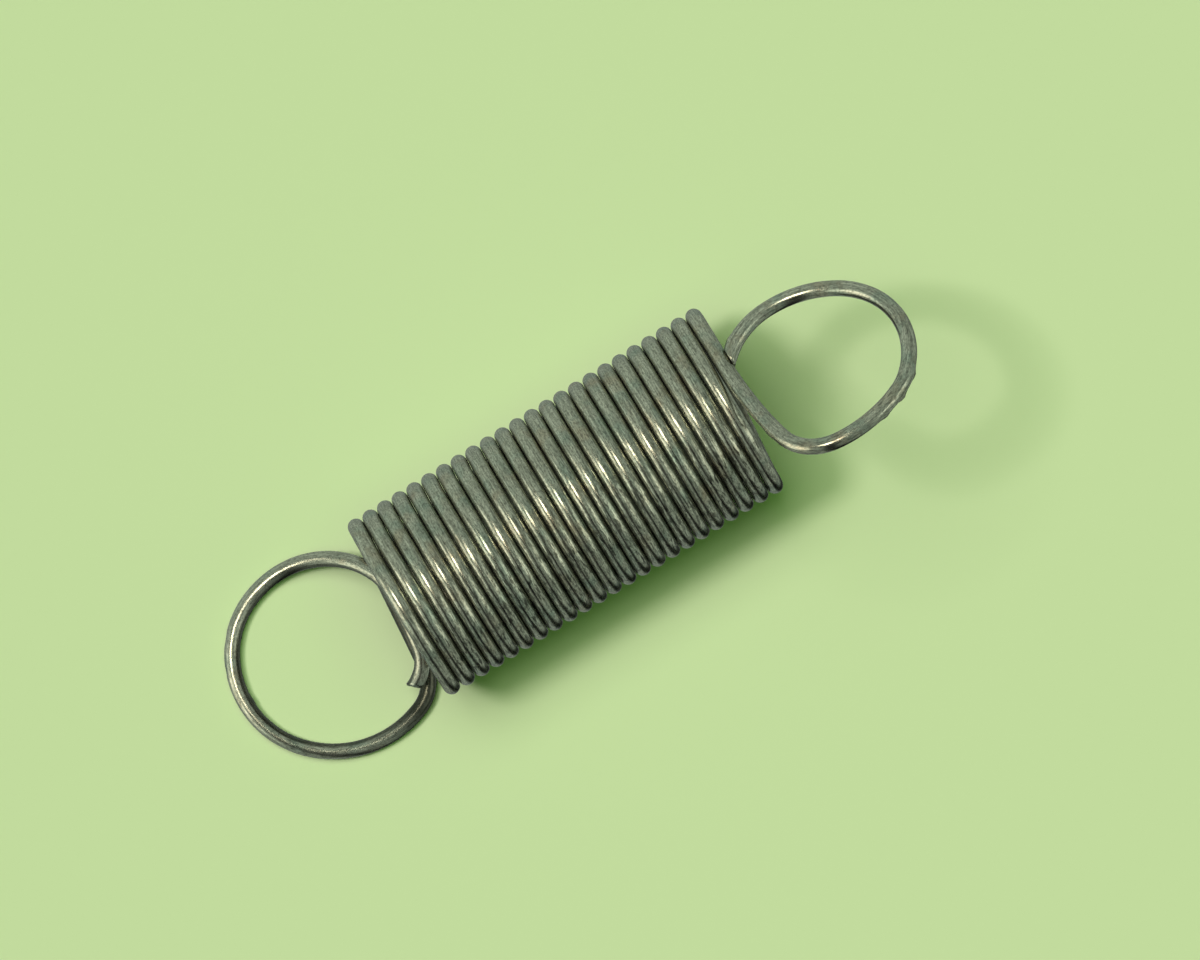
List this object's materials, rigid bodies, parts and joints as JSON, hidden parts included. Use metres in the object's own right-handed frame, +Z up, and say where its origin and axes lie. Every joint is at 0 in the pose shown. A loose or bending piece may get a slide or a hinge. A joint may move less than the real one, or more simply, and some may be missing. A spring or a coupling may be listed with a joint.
{
  "type": "extension spring",
  "caption": "Close-wound extension spring of round steel wire, with a full loop turned out at each end, one lying flat and the other raised.",
  "frame": {"origin": "where the spring stands, under the middle of its outer box", "axes": "+X along the coil from the flat loop to the raised loop, +Z up, +Y across; the coil's axis is parallel to X"},
  "size_m": [0.0482, 0.0136, 0.0186],
  "materials": {
    "spring_wire": "drawn steel wire, half gloss, greyed and slightly grimy, with fine die lines along it"
  },
  "bodies": {
    "root": {"spring": "spring_wire"}
  },
  "joints": []
}
